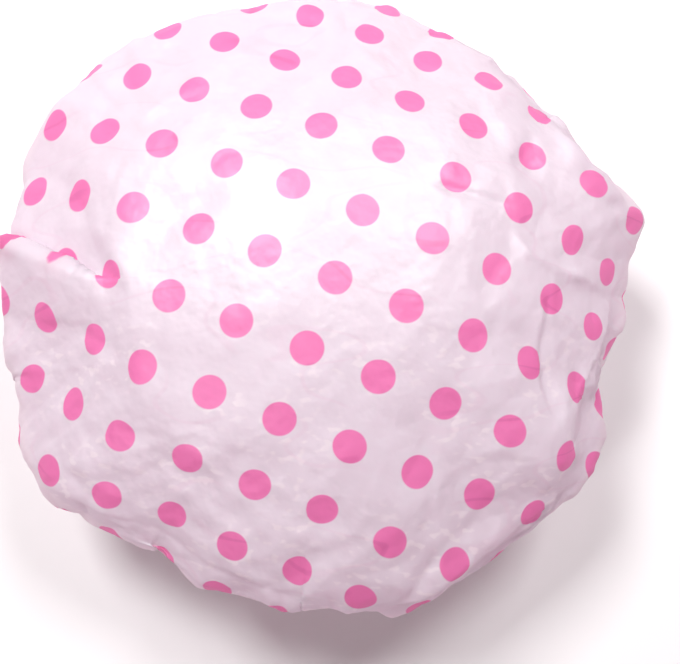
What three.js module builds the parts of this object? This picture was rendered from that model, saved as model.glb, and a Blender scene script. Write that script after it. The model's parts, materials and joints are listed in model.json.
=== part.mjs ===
// A puffed shower cap standing on its opening: one disc of thin film, drawn in at its hem by an elastic band.
// Millimetres, +Z up. The film is drawn as a thicker wall than the real sheet, so that it is a solid.
import * as THREE from 'three';

// Puffed film, from the top of the crown down to the line where the pleats begin
const EQUATOR_RADIUS = 135;
const CROWN_RADIUS = 233;
const SHOULDER_RADIUS = 25;
const UNDER_RADIUS = 34;
const UNDER_TURN = THREE.MathUtils.degToRad(60);
const FILM_WALL = 1.2;

// Along the front edge the film turns under in a tighter shoulder
const FRONT_SHOULDER_RADIUS = 8;
const FRONT_AZIMUTH = THREE.MathUtils.degToRad(-85);
const FRONT_HALF_WIDTH = THREE.MathUtils.degToRad(45);
const FRONT_FADE = THREE.MathUtils.degToRad(40);

// Outline of the puffed film: corners at an azimuth in degrees, each past the equator radius or short of it
const OUTLINE_CORNERS = [
  [-170, 2], [-162, -3], [-152, 8], [-141, 10], [-130, -4], [-122, -10], [-112, -5], [-96, -6], [-88, -13],
  [-78, 0], [-60, -8], [-40, -4], [-27, -3], [-19, -17], [-8, -6], [-3, -6], [13, 6], [20, 2], [35, -11],
  [50, -6], [60, -15], [68, -9], [78, -2], [90, -9], [108, 4], [120, -1], [134, 11], [146, 9], [157, 11],
  [169, 3], [178, -3],
];
const OUTLINE_START = THREE.MathUtils.degToRad(12);
const OUTLINE_FULL = THREE.MathUtils.degToRad(48);

// Flat facets of the taut film between soft ridges: lean in degrees, count, and how far the lean strays
const FACET_ROWS = [[5, 4, 2], [15, 9, 3], [26, 13, 4], [48, 15, 8], [74, 19, 7]];

// Wide flats: azimuth and lean in degrees, and how far from the axis each leaves the crown
const FLATS = [[-7, 33.5, 88], [194, 30, 81], [-122, 56, 121], [-147, 58, 139]];

// The fold at the left, whose lower lip lies over the film above it
const LIP_AZIMUTH = THREE.MathUtils.degToRad(173);
const LIP_HEIGHT = 4;
const LIP_TUCK = 1.5;
const LIP_WIDTH = 38;

// Creases that run down from the crown: azimuth in degrees, depth and half width
const CREASES = [[37, 2, 10], [-16, 2, 12], [-93, 2, 9]];
const CREASE_START = THREE.MathUtils.degToRad(16);
const CREASE_FULL = THREE.MathUtils.degToRad(45);

// Elastic band and the hem that is folded round it
const OPENING_RADIUS = 75;
const ELASTIC_HEIGHT = 5;
const ELASTIC_THICKNESS = 1.2;
const ELASTIC_CLEARANCE = 0.3;
const HEM_WALL = 1.0;
const HEM_CHAMFER = 0.6;

// Rim sectors, which part as the elastic stretches
const SECTORS = 16;
const SECTOR_GAP = 0.3;
const PLEATS_PER_SECTOR = 2;
const PLEAT_DEPTH = 4.5;
const FILM_GAP = 0.3;

// Facets of the drawn surfaces
const COVER_SIDES = 72;
const CROWN_STEPS = 7;
const SHOULDER_STEPS = 4;
const UNDER_STEPS = 3;
const SKIRT_STEPS = 3;
const SECTOR_STEPS = 6;

// Finishes
const FILM = new THREE.MeshStandardMaterial({
  name: 'film', color: 0xf4eef4, roughness: 0.42, metalness: 0, transparent: true, opacity: 0.9,
});
const ELASTIC = new THREE.MeshStandardMaterial({
  name: 'elastic', color: 0xf3f1ec, roughness: 0.85, metalness: 0,
});

// Sizes that follow from the driving ones
const HEM_OUTER = OPENING_RADIUS + 2 * HEM_WALL + 2 * ELASTIC_CLEARANCE + ELASTIC_THICKNESS;
const HEM_TOP = 2 * HEM_WALL + 2 * ELASTIC_CLEARANCE + ELASTIC_HEIGHT;
const PLEAT_ANGLE = Math.PI / 2 + UNDER_TURN;
const PLEAT_RADIUS = EQUATOR_RADIUS - UNDER_RADIUS * (1 - Math.sin(PLEAT_ANGLE));
const SKIRT_SLOPE = Math.PI - PLEAT_ANGLE;
const PLEAT_Z = HEM_TOP + (PLEAT_RADIUS - HEM_OUTER) * Math.tan(SKIRT_SLOPE);
const EQUATOR_Z = PLEAT_Z - UNDER_RADIUS * Math.cos(PLEAT_ANGLE);
const CROWN_CENTRE_Z = EQUATOR_Z - equatorRise(SHOULDER_RADIUS);
const PUFF_MIDDLE = new THREE.Vector3(0, 0, EQUATOR_Z);
const FACETS = facetPlanes();

// A closed mesh of points joined by triangles, with flat facets.
function meshOf(name, points, triangles, material) {
  const geometry = new THREE.BufferGeometry();
  geometry.setAttribute('position', new THREE.Float32BufferAttribute(points.flatMap((p) => p.toArray()), 3));
  geometry.setIndex(triangles.flat());
  geometry.computeVertexNormals();
  const mesh = new THREE.Mesh(geometry, material);
  mesh.name = name;
  return mesh;
}

// Two triangles across four corners given in turn.
function quad(a, b, c, d) {
  return [[a, b, c], [a, c, d]];
}

// An angle brought between minus and plus half a turn.
function turnedBack(angle) {
  return THREE.MathUtils.euclideanModulo(angle + Math.PI, 2 * Math.PI) - Math.PI;
}

// The direction that leans so far from upright towards an azimuth.
function leanTowards(azimuth, lean) {
  return new THREE.Vector3(
    Math.sin(lean) * Math.cos(azimuth), Math.sin(lean) * Math.sin(azimuth), Math.cos(lean),
  );
}

// The equator's reach at an azimuth: straight chords from corner to corner of the outline.
function reachAt(bearing) {
  const azimuth = turnedBack(bearing);
  const corners = OUTLINE_CORNERS.map(([degrees, past]) => [
    THREE.MathUtils.degToRad(degrees), EQUATOR_RADIUS + past,
  ]);
  const turn = 2 * Math.PI;
  const next = Math.max(corners.findIndex(([angle]) => angle > azimuth), 0);
  const [toAngle, toReach] = corners[next];
  const [fromAngle, fromReach] = corners.at(next - 1);
  const before = THREE.MathUtils.euclideanModulo(azimuth - fromAngle, turn);
  const after = THREE.MathUtils.euclideanModulo(toAngle - azimuth, turn);
  const width = Math.sin(before + after);
  return (fromReach * toReach * width) / (fromReach * Math.sin(before) + toReach * Math.sin(after));
}

// How much of the outline's corners shows where the film's normal leans this far from upright.
function outlineShare(lean) {
  if (lean <= Math.PI / 2) {
    return THREE.MathUtils.smoothstep(lean, OUTLINE_START, OUTLINE_FULL);
  }
  return 1 - THREE.MathUtils.smoothstep(lean, Math.PI / 2, PLEAT_ANGLE);
}

// How far the creases and the fold draw the film in, at an azimuth and a lean of the film's normal.
function creaseDepth(azimuth, lean, radius) {
  const opened = THREE.MathUtils.smoothstep(lean, CREASE_START, CREASE_FULL);
  const closed = 1 - THREE.MathUtils.smoothstep(lean, Math.PI / 2, PLEAT_ANGLE);
  let depth = 0;
  for (const [degrees, deep, halfWidth] of CREASES) {
    const away = turnedBack(azimuth - THREE.MathUtils.degToRad(degrees));
    depth += deep * Math.exp(-(((away * radius) / halfWidth) ** 2));
  }
  const past = turnedBack(azimuth - LIP_AZIMUTH) * radius;
  depth += (past > 0 ? -LIP_HEIGHT : LIP_TUCK) * Math.exp(-Math.abs(past) / LIP_WIDTH);
  return depth * opened * closed;
}

// The lean of the film's normal at which the crown runs into a shoulder of this radius.
function crownEdge(shoulder) {
  return Math.asin((EQUATOR_RADIUS - shoulder) / (CROWN_RADIUS - shoulder));
}

// How far the equator stands over the middle of the crown's sphere with a shoulder of this radius.
function equatorRise(shoulder) {
  return (CROWN_RADIUS - shoulder) * Math.cos(crownEdge(shoulder));
}

// The shoulder's radius at an azimuth.
function shoulderAt(azimuth) {
  const away = Math.abs(turnedBack(azimuth - FRONT_AZIMUTH));
  const wide = THREE.MathUtils.smoothstep(away, FRONT_HALF_WIDTH, FRONT_HALF_WIDTH + FRONT_FADE);
  return THREE.MathUtils.lerp(FRONT_SHOULDER_RADIUS, SHOULDER_RADIUS, wide);
}

// The leans of the film's normal at which the profile has a ring, from below the pole to the pleat line.
function profileLeans(azimuth) {
  const edge = crownEdge(shoulderAt(azimuth));
  const leans = [];
  for (let i = 1; i <= CROWN_STEPS; i += 1) {
    leans.push((edge * i) / CROWN_STEPS);
  }
  for (let i = 1; i <= SHOULDER_STEPS; i += 1) {
    leans.push(edge + ((Math.PI / 2 - edge) * i) / SHOULDER_STEPS);
  }
  for (let i = 1; i <= UNDER_STEPS; i += 1) {
    leans.push(Math.PI / 2 + (UNDER_TURN * i) / UNDER_STEPS);
  }
  return leans;
}

// Radius and height of the plain profile where the film's normal leans this far: three arcs, end to end.
function profileAt(lean, azimuth) {
  const shoulder = shoulderAt(azimuth);
  if (lean <= crownEdge(shoulder)) {
    return [CROWN_RADIUS * Math.sin(lean), CROWN_CENTRE_Z + CROWN_RADIUS * Math.cos(lean)];
  }
  const arc = lean <= Math.PI / 2 ? shoulder : UNDER_RADIUS;
  const sunk = THREE.MathUtils.smoothstep(lean, Math.PI / 2, PLEAT_ANGLE);
  const centre = THREE.MathUtils.lerp(CROWN_CENTRE_Z + equatorRise(shoulder), EQUATOR_Z, sunk);
  return [EQUATOR_RADIUS - arc + arc * Math.sin(lean), centre + arc * Math.cos(lean)];
}

// A point of the puffed film before the facets: the plain profile, drawn out to the outline's corners.
function puffPoint(azimuth, lean) {
  const [radius, height] = profileAt(lean, azimuth);
  const out = radius + outlineShare(lean) * (reachAt(azimuth) - EQUATOR_RADIUS);
  return new THREE.Vector3(out * Math.cos(azimuth), out * Math.sin(azimuth), height);
}

// The planes of the facets, each with its normal and how far it stands from the middle of the puff.
function facetPlanes() {
  return FACET_ROWS.flatMap(([degrees, count, stray], row) => Array.from({ length: count }, (_, i) => {
    const azimuth = ((row + i + 0.35 * Math.sin(5 * i + row)) * 2 * Math.PI) / count;
    const lean = THREE.MathUtils.degToRad(degrees + stray * Math.sin(7 * i + 2 * row));
    const normal = leanTowards(azimuth, lean);
    return { normal, reach: normal.dot(puffPoint(azimuth, lean).sub(PUFF_MIDDLE)) };
  }));
}

// A point drawn on to the facets, most of all half way down the crown, and then cut to the wide flats.
function flattened(point, lean) {
  const away = point.clone().sub(PUFF_MIDDLE);
  const direction = away.clone().normalize();
  const spans = FACETS.map(({ normal, reach }) => reach / Math.max(normal.dot(direction), 0.05));
  const share = (0.5 + 0.4 * THREE.MathUtils.smoothstep(lean, 0.2, 0.5))
    * (1 - THREE.MathUtils.smoothstep(lean, 0.7, 1.3));
  away.setLength(THREE.MathUtils.lerp(away.length(), Math.min(...spans), share));
  for (const [azimuth, slope, radius] of FLATS) {
    const turn = THREE.MathUtils.degToRad(azimuth);
    const normal = leanTowards(turn, THREE.MathUtils.degToRad(slope));
    const height = CROWN_CENTRE_Z + Math.sqrt(CROWN_RADIUS ** 2 - radius ** 2);
    const foot = new THREE.Vector3(radius * Math.cos(turn), radius * Math.sin(turn), height).sub(PUFF_MIDDLE);
    away.divideScalar(Math.max(away.dot(normal) / foot.dot(normal), 1));
  }
  return away.add(PUFF_MIDDLE);
}

// A point of the puffed film, on its outer face or the given depth under it.
function filmPoint(azimuth, lean, under) {
  const inset = under + creaseDepth(azimuth, lean, profileAt(lean, azimuth)[0]);
  return flattened(puffPoint(azimuth, lean), lean).addScaledVector(leanTowards(azimuth, lean), -inset);
}

// The puffed film from the crown to the pleat line, open underneath.
function filmCover() {
  const azimuths = Array.from(
    { length: COVER_SIDES }, (_, side) => -Math.PI + (2 * Math.PI * side) / COVER_SIDES,
  );
  const leans = azimuths.map((azimuth) => profileLeans(azimuth));
  const ringCount = leans[0].length;
  const points = [];
  const triangles = [];
  const faces = [0, FILM_WALL].map((under) => {
    const pole = points.push(filmPoint(0, 0, under)) - 1;
    const rings = Array.from({ length: ringCount }, (_, ring) => azimuths.map(
      (azimuth, side) => points.push(filmPoint(azimuth, leans[side][ring], under)) - 1,
    ));
    return { pole, rings };
  });
  const [outer, inner] = faces;
  for (let side = 0; side < COVER_SIDES; side += 1) {
    const next = (side + 1) % COVER_SIDES;
    triangles.push([outer.pole, outer.rings[0][side], outer.rings[0][next]]);
    triangles.push([inner.pole, inner.rings[0][next], inner.rings[0][side]]);
    for (let ring = 1; ring < ringCount; ring += 1) {
      const [upper, lower] = [outer.rings[ring - 1], outer.rings[ring]];
      triangles.push(...quad(upper[side], lower[side], lower[next], upper[next]));
      const [top, bottom] = [inner.rings[ring - 1], inner.rings[ring]];
      triangles.push(...quad(top[next], bottom[next], bottom[side], top[side]));
    }
    const [lip, lining] = [outer.rings.at(-1), inner.rings.at(-1)];
    triangles.push(...quad(lip[side], lining[side], lining[next], lip[next]));
  }
  return meshOf('film_cover', points, triangles, FILM);
}

// A bar bent round the axis: its section's outline and holes are swept across one sector, centred on +X.
// moved gives a section point's place after pleating, from the point and the share of the width passed.
function sectorBar(name, outline, holes, material, moved) {
  const loops = [outline, ...holes];
  const count = loops.flat().length;
  const points = [];
  const triangles = [];
  for (let step = 0; step <= SECTOR_STEPS; step += 1) {
    const passed = step / SECTOR_STEPS;
    for (const corner of loops.flat()) {
      const at = moved(corner, passed);
      const halfAngle = Math.PI / SECTORS - Math.asin(SECTOR_GAP / 2 / at.x);
      const azimuth = halfAngle * (2 * passed - 1);
      points.push(new THREE.Vector3(at.x * Math.cos(azimuth), at.x * Math.sin(azimuth), at.y));
    }
  }
  for (let step = 0; step < SECTOR_STEPS; step += 1) {
    let first = step * count;
    for (const loop of loops) {
      for (let i = 0; i < loop.length; i += 1) {
        const [a, b] = [first + i, first + ((i + 1) % loop.length)];
        triangles.push(...quad(b, a, a + count, b + count));
      }
      first += loop.length;
    }
  }
  const last = SECTOR_STEPS * count;
  for (const [a, b, c] of THREE.ShapeUtils.triangulateShape(outline, holes)) {
    triangles.push([a, b, c], [last + c, last + b, last + a]);
  }
  return meshOf(name, points, triangles, material);
}

// One sector of the pleated film below the pleat line, with the hem that is folded round the elastic.
function gatherSector(name) {
  const along = new THREE.Vector2(Math.cos(SKIRT_SLOPE), Math.sin(SKIRT_SLOPE));
  const outward = new THREE.Vector2(Math.sin(PLEAT_ANGLE), Math.cos(PLEAT_ANGLE));
  const foot = new THREE.Vector2(HEM_OUTER, HEM_TOP);
  const length = (PLEAT_RADIUS - HEM_OUTER) / Math.cos(SKIRT_SLOPE) - FILM_GAP;
  const skirtPoint = (share, under) => foot.clone()
    .addScaledVector(along, length * share)
    .addScaledVector(outward, -under);
  const shares = Array.from({ length: SKIRT_STEPS }, (_, i) => (i + 1) / SKIRT_STEPS);
  const outerFace = shares.map((share) => skirtPoint(share, 0)).reverse();
  const innerFace = shares.map((share) => skirtPoint(share, FILM_WALL));
  const outline = [
    ...outerFace,
    foot,
    new THREE.Vector2(HEM_OUTER, HEM_CHAMFER),
    new THREE.Vector2(HEM_OUTER - HEM_CHAMFER, 0),
    new THREE.Vector2(OPENING_RADIUS + HEM_CHAMFER, 0),
    new THREE.Vector2(OPENING_RADIUS, HEM_CHAMFER),
    new THREE.Vector2(OPENING_RADIUS, HEM_TOP),
    new THREE.Vector2(HEM_OUTER - FILM_WALL / Math.sin(SKIRT_SLOPE), HEM_TOP),
    ...innerFace,
  ].reverse();
  const tunnel = [
    new THREE.Vector2(OPENING_RADIUS + HEM_WALL, HEM_WALL),
    new THREE.Vector2(OPENING_RADIUS + HEM_WALL, HEM_TOP - HEM_WALL),
    new THREE.Vector2(HEM_OUTER - HEM_WALL, HEM_TOP - HEM_WALL),
    new THREE.Vector2(HEM_OUTER - HEM_WALL, HEM_WALL),
  ];
  const pleated = (corner, passed) => {
    const up = THREE.MathUtils.clamp(corner.clone().sub(foot).dot(along) / length, 0, 1);
    const wave = (1 - Math.cos(2 * Math.PI * PLEATS_PER_SECTOR * passed)) / 2;
    return corner.clone().addScaledVector(outward, PLEAT_DEPTH * Math.sin(Math.PI * up) * wave);
  };
  return sectorBar(name, outline, [tunnel], FILM, pleated);
}

// One sector's length of the elastic band, seated against the inner wall of the hem's tunnel.
function elasticSector(name) {
  const inner = OPENING_RADIUS + HEM_WALL + ELASTIC_CLEARANCE;
  const bottom = HEM_WALL + ELASTIC_CLEARANCE;
  const outline = [
    new THREE.Vector2(inner, bottom),
    new THREE.Vector2(inner + ELASTIC_THICKNESS, bottom),
    new THREE.Vector2(inner + ELASTIC_THICKNESS, bottom + ELASTIC_HEIGHT),
    new THREE.Vector2(inner, bottom + ELASTIC_HEIGHT),
  ];
  return sectorBar(name, outline, [], ELASTIC, (corner) => corner.clone());
}

// The rim: sectors of gathered film, each with its length of elastic, all round the opening.
function rim() {
  const ring = new THREE.Group();
  for (let i = 0; i < SECTORS; i += 1) {
    const number = String(i + 1).padStart(2, '0');
    const sector = new THREE.Group();
    sector.add(gatherSector(`gather_${number}`), elasticSector(`elastic_${number}`));
    sector.rotation.z = (2 * Math.PI * i) / SECTORS;
    ring.add(sector);
  }
  return ring;
}

// The cap stands on z = 0 with the middle of its box over the origin.
const cap = new THREE.Group();
cap.add(filmCover(), rim());
cap.updateMatrixWorld(true);
const middle = new THREE.Box3().setFromObject(cap, true).getCenter(new THREE.Vector3());
cap.position.set(-middle.x, -middle.y, 0);

export default cap;
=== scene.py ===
"""A puffed shower cap: dotted frosted film, gathered at its hem round an elastic band."""

import json
import logging
import math
from dataclasses import dataclass, field
from enum import Enum
from typing import Any, Sequence, Union

import bpy
import numpy as np
from mathutils import Matrix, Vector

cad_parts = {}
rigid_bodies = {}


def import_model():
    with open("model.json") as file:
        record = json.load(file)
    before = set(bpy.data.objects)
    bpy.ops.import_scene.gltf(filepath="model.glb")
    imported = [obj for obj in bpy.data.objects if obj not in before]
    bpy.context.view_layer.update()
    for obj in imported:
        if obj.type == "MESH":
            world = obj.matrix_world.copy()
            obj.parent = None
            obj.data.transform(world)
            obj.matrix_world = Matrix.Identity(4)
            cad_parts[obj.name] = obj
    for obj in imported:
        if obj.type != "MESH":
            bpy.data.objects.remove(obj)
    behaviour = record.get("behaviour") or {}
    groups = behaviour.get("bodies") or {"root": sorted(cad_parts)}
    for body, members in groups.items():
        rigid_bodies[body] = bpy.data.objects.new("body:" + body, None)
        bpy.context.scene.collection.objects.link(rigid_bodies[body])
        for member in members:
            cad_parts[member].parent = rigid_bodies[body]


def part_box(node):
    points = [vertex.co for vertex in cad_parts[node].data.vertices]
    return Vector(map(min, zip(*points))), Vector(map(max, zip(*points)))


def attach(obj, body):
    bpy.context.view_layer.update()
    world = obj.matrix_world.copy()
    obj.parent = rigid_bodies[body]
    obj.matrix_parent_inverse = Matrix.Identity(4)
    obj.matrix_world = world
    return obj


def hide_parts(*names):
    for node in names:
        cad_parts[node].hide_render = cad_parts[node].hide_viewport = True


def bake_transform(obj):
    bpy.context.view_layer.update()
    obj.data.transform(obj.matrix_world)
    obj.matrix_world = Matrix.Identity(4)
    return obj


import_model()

logging.basicConfig(level=logging.INFO, format="%(message)s")
LOG = logging.getLogger("shower_cap")

SECTORS = 16
FLAT_MAP = "flat_film"
TURN_MAP = "turned"
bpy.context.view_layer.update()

Points = np.ndarray
Colour = tuple[float, float, float, float]


class Light(Enum):
    """Which of the studio's lamps is meant."""

    KEY = "key"
    FILL = "fill"
    FRONT = "front"


class Socket:
    """A node's output, on which arithmetic adds Math nodes."""

    def __init__(self, tree: "Tree", socket: bpy.types.NodeSocket) -> None:
        """Wrap one output socket of a node tree.

        Args:
            tree: the nodes that it belongs to.
            socket: the output.
        """
        self.tree = tree
        self.socket = socket

    def _math(self, operation: str, *values: "Value") -> "Socket":
        """Return a Math node's result on the given values.

        Args:
            operation: the node's operation.
            values: its inputs, in order.

        Returns:
            The node's output.
        """
        return self.tree.add("ShaderNodeMath", {"operation": operation}, dict(enumerate(values)))

    def __add__(self, other: "Value") -> "Socket":
        """Return the sum.

        Args:
            other: what is added.

        Returns:
            The result's output.
        """
        return self._math("ADD", self, other)

    __radd__ = __add__

    def __mul__(self, other: "Value") -> "Socket":
        """Return the product.

        Args:
            other: what this is multiplied by.

        Returns:
            The result's output.
        """
        return self._math("MULTIPLY", self, other)

    __rmul__ = __mul__

    def __sub__(self, other: "Value") -> "Socket":
        """Return this less the other.

        Args:
            other: what is taken away.

        Returns:
            The result's output.
        """
        return self._math("SUBTRACT", self, other)

    def __rsub__(self, other: "Value") -> "Socket":
        """Return the other less this.

        Args:
            other: what this is taken away from.

        Returns:
            The result's output.
        """
        return self._math("SUBTRACT", other, self)

    def __truediv__(self, other: "Value") -> "Socket":
        """Return this over the other.

        Args:
            other: what this is divided by.

        Returns:
            The result's output.
        """
        return self._math("DIVIDE", self, other)

    def __pow__(self, other: "Value") -> "Socket":
        """Return this raised to the other.

        Args:
            other: the power.

        Returns:
            The result's output.
        """
        return self._math("POWER", self, other)

    def nearest_offset(self) -> "Socket":
        """Return how far this is from the nearest whole number.

        Returns:
            The distance, with its sign.
        """
        return self - self._math("ROUND", self)

    def step(self, low: float, high: float) -> "Socket":
        """Return a smooth step from 0 to 1.

        Args:
            low: where the step is 0; it may be the greater of the two.
            high: where the step is 1.

        Returns:
            The step's output.
        """
        return self.tree.add(
            "ShaderNodeMapRange",
            {"interpolation_type": "SMOOTHSTEP"},
            {"Value": self, "From Min": low, "From Max": high, "To Min": 0.0, "To Max": 1.0},
        )


Value = Union[Socket, float]


class Tree:
    """A material's nodes, added one at a time."""

    def __init__(self, material: bpy.types.Material) -> None:
        """Start from an empty tree with its output.

        Args:
            material: the material that the nodes belong to.
        """
        material.use_nodes = True
        self.nodes = material.node_tree.nodes
        self.links = material.node_tree.links
        self.nodes.clear()
        self.output = self.nodes.new("ShaderNodeOutputMaterial")

    def add(
        self,
        kind: str,
        settings: dict[str, Any] | None = None,
        sockets: dict[str | int, Any] | None = None,
        output: str | int = 0,
    ) -> Socket:
        """Add one node.

        Args:
            kind: the node's type.
            settings: its own options, set before its sockets.
            sockets: values or links for its inputs, by name or place.
            output: which of its outputs is wanted.

        Returns:
            The wanted output.
        """
        node = self.nodes.new(kind)
        for name, value in (settings or {}).items():
            setattr(node, name, value)
        for name, value in (sockets or {}).items():
            target = node.inputs[name]
            if isinstance(value, Socket):
                self.links.new(value.socket, target)
            else:
                target.default_value = value
        return Socket(self, node.outputs[output])

    def mix(self, share: Value, first: Any, second: Any) -> Socket:
        """Return a colour between two.

        Args:
            share: how much of the second colour there is, from 0 to 1.
            first: the first colour.
            second: the second colour.

        Returns:
            The mixed colour.
        """
        settings = {"data_type": "RGBA", "clamp_factor": True}
        return self.add("ShaderNodeMix", settings, {0: share, 6: first, 7: second}, 2)

    def split(self, vector: Socket) -> tuple[Socket, Socket, Socket]:
        """Return a vector's three parts.

        Args:
            vector: the vector.

        Returns:
            Its x, y and z.
        """
        node = self.add("ShaderNodeSeparateXYZ", {}, {"Vector": vector}).socket.node
        return tuple(Socket(self, node.outputs[i]) for i in range(3))

    def noise(self, where: Socket, scale: float, detail: float, rough: float = 0.5) -> Socket:
        """Return a noise value at a place.

        Args:
            where: the place.
            scale: how many swells there are to a metre.
            detail: how many finer layers there are.
            rough: how strong each finer layer is.

        Returns:
            The value, about 0.5 in the mean.
        """
        values = {"Vector": where, "Scale": scale, "Detail": detail, "Roughness": rough}
        return self.add("ShaderNodeTexNoise", {"noise_dimensions": "3D"}, values)

    def finish(self, shader: Socket) -> None:
        """Show a shader.

        Args:
            shader: what the surface shows.
        """
        self.links.new(shader.socket, self.output.inputs["Surface"])


@dataclass(frozen=True)
class DotPrint:
    """The printed dots: a square grid on the flat film."""

    pitch: float = 0.0273
    diameter: float = 0.0124
    edge: float = 0.00035
    turn: float = math.radians(21.0)
    first: tuple[float, float] = (-0.0148, -0.0574)

    def mask(self, tree: Tree, flat: Socket) -> Socket:
        """Return 1 in a dot and 0 beside it.

        Args:
            tree: the material's nodes.
            flat: the place on the flat film, in metres.

        Returns:
            The share of ink.
        """
        x, y, _ = tree.split(flat)
        x, y = x - self.first[0], y - self.first[1]
        cosine, sine = math.cos(self.turn) / self.pitch, math.sin(self.turn) / self.pitch
        across = (x * cosine - y * sine).nearest_offset()
        down = (x * -sine - y * cosine).nearest_offset()
        away = (across * across + down * down) ** 0.5 * self.pitch
        radius = self.diameter / 2
        return away.step(radius + self.edge, radius - self.edge)


@dataclass(frozen=True)
class FilmFinish:
    """Frosted white film with pink dots, which lets some light through."""

    name: str = "dotted_film"
    film: Colour = (0.865, 0.853, 0.903, 1.0)
    cloud: Colour = (0.812, 0.79, 0.838, 1.0)
    # The turned edge's pale colour: partly the doubled film, partly a painted glow of light shining through
    # it from inside the cap.
    doubled_film_and_glow: Colour = (0.98, 0.95, 0.96, 1.0)
    # Painted glint colour: pale flecks standing in for specular glints on the film.
    painted_glint: Colour = (0.99, 0.98, 0.99, 1.0)
    ink: Colour = (0.98, 0.25, 0.55, 1.0)
    # Painted shade for the hairline creases: a darker pink laid in thin lines, mostly over the dots.
    crease: Colour = (0.70, 0.14, 0.38, 1.0)
    glow: Colour = (0.985, 0.89, 0.955, 1.0)
    ink_glow: Colour = (0.98, 0.25, 0.56, 1.0)
    through: float = 0.45
    roughness: float = 0.47
    dots: DotPrint = DotPrint()

    def material(self) -> bpy.types.Material:
        """Make the finish.

        Returns:
            The material.
        """
        made = bpy.data.materials.new(self.name)
        tree = Tree(made)
        flat = tree.add("ShaderNodeUVMap", {"uv_map": FLAT_MAP})
        place = tree.add("ShaderNodeTexCoord", {}, {}, "Object")
        ink = self.dots.mask(tree, flat)
        turned = tree.add("ShaderNodeAttribute", {"attribute_name": TURN_MAP}, {}, "Fac").step(0.50, 0.80)
        cloud = tree.noise(place, 95.0, 2.0) * 0.6 + tree.noise(place, 24.0, 1.0) * 0.4
        film = tree.mix(cloud.step(0.36, 0.64), self.film, self.cloud)
        # Paler band where the film turns down at the edge: partly doubled film, partly a painted glow
        # standing in for light that passes through the film.
        film = tree.mix(turned * 0.7, film, self.doubled_film_and_glow)
        # Painted glints: pale streaky flecks on the lower front of the film, kept off the dots, stand in for
        # glints of the front lamp; the same flecks also lower the roughness a little.
        front_side = tree.add("ShaderNodeSeparateXYZ", {}, {"Vector": flat}, "Y").step(-0.005, -0.04)
        stretch = {0: flat, 1: (1.0, 1.5, 1.0)}
        streak = tree.add("ShaderNodeVectorMath", {"operation": "MULTIPLY"}, stretch, "Vector")
        patch = tree.noise(place, 42.0, 1.0).step(0.38, 0.58)
        painted_glint = tree.noise(streak, 190.0, 1.0, 0.5).step(0.53, 0.67) * patch * front_side * (1 - ink)
        film = tree.mix(painted_glint, film, self.painted_glint)
        colour = tree.mix(ink, film, self.ink)
        # Painted crease shade: thin darker lines along hairline creases, stronger over the dots, stand in for
        # the shade that falls in the creases.
        slant = {"Vector": flat, "Rotation": (0.0, 0.0, 0.7), "Scale": (0.6, 1.5, 1.0)}
        bend = tree.noise(tree.add("ShaderNodeMapping", {}, slant), 26.0, 1.0, 0.4) - 0.5
        crease_shade_line = (bend * bend).step(0.00020, 0.0) * tree.noise(place, 31.0, 0.0).step(0.38, 0.52)
        colour = tree.mix(crease_shade_line * (ink * 0.5 + 0.08), colour, self.crease)
        pebble = tree.noise(flat, 260.0, 1.0, 0.5)
        swell = tree.noise(flat, 80.0, 2.0, 0.5)
        height = swell * 0.7 + pebble * 0.14
        bump = tree.add("ShaderNodeBump", {}, {"Strength": 0.6, "Distance": 0.0022, "Height": height})
        shine = painted_glint * -0.12 + self.roughness
        front = tree.add(
            "ShaderNodeBsdfPrincipled",
            {},
            {
                "Base Color": colour,
                "Roughness": shine,
                "IOR": 1.6,
                "Specular IOR Level": 1.0,
                "Normal": bump,
            },
        )
        glow = tree.mix(ink, self.glow, self.ink_glow)
        behind = tree.add("ShaderNodeBsdfTranslucent", {}, {"Color": glow, "Normal": bump})
        tree.finish(tree.add("ShaderNodeMixShader", {}, {0: self.through, 1: front, 2: behind}))
        return made


@dataclass(frozen=True)
class ElasticFinish:
    """White braided elastic."""

    name: str = "braided_elastic"
    light: Colour = (0.86, 0.85, 0.82, 1.0)
    dark: Colour = (0.62, 0.61, 0.58, 1.0)

    def material(self) -> bpy.types.Material:
        """Make the finish.

        Returns:
            The material.
        """
        made = bpy.data.materials.new(self.name)
        tree = Tree(made)
        place = tree.add("ShaderNodeTexCoord", {}, {}, "Object")
        braid = tree.noise(place, 900.0, 2.0)
        colour = tree.mix(braid.step(0.35, 0.65), self.dark, self.light)
        bump = tree.add("ShaderNodeBump", {}, {"Strength": 0.5, "Distance": 0.0006, "Height": braid})
        values = {"Base Color": colour, "Roughness": 0.85, "Normal": bump}
        tree.finish(tree.add("ShaderNodeBsdfPrincipled", {}, values))
        return made


@dataclass(frozen=True)
class ThreadFinish:
    """White sewing thread."""

    name: str = "sewing_thread"
    colour: Colour = (0.88, 0.86, 0.86, 1.0)

    def material(self) -> bpy.types.Material:
        """Make the finish.

        Returns:
            The material.
        """
        made = bpy.data.materials.new(self.name)
        tree = Tree(made)
        place = tree.add("ShaderNodeTexCoord", {}, {}, "Object")
        colour = tree.mix(tree.noise(place, 1500.0, 1.0).step(0.4, 0.6), self.colour, (0.74, 0.72, 0.73, 1.0))
        tree.finish(tree.add("ShaderNodeBsdfPrincipled", {}, {"Base Color": colour, "Roughness": 0.6}))
        return made


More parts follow.
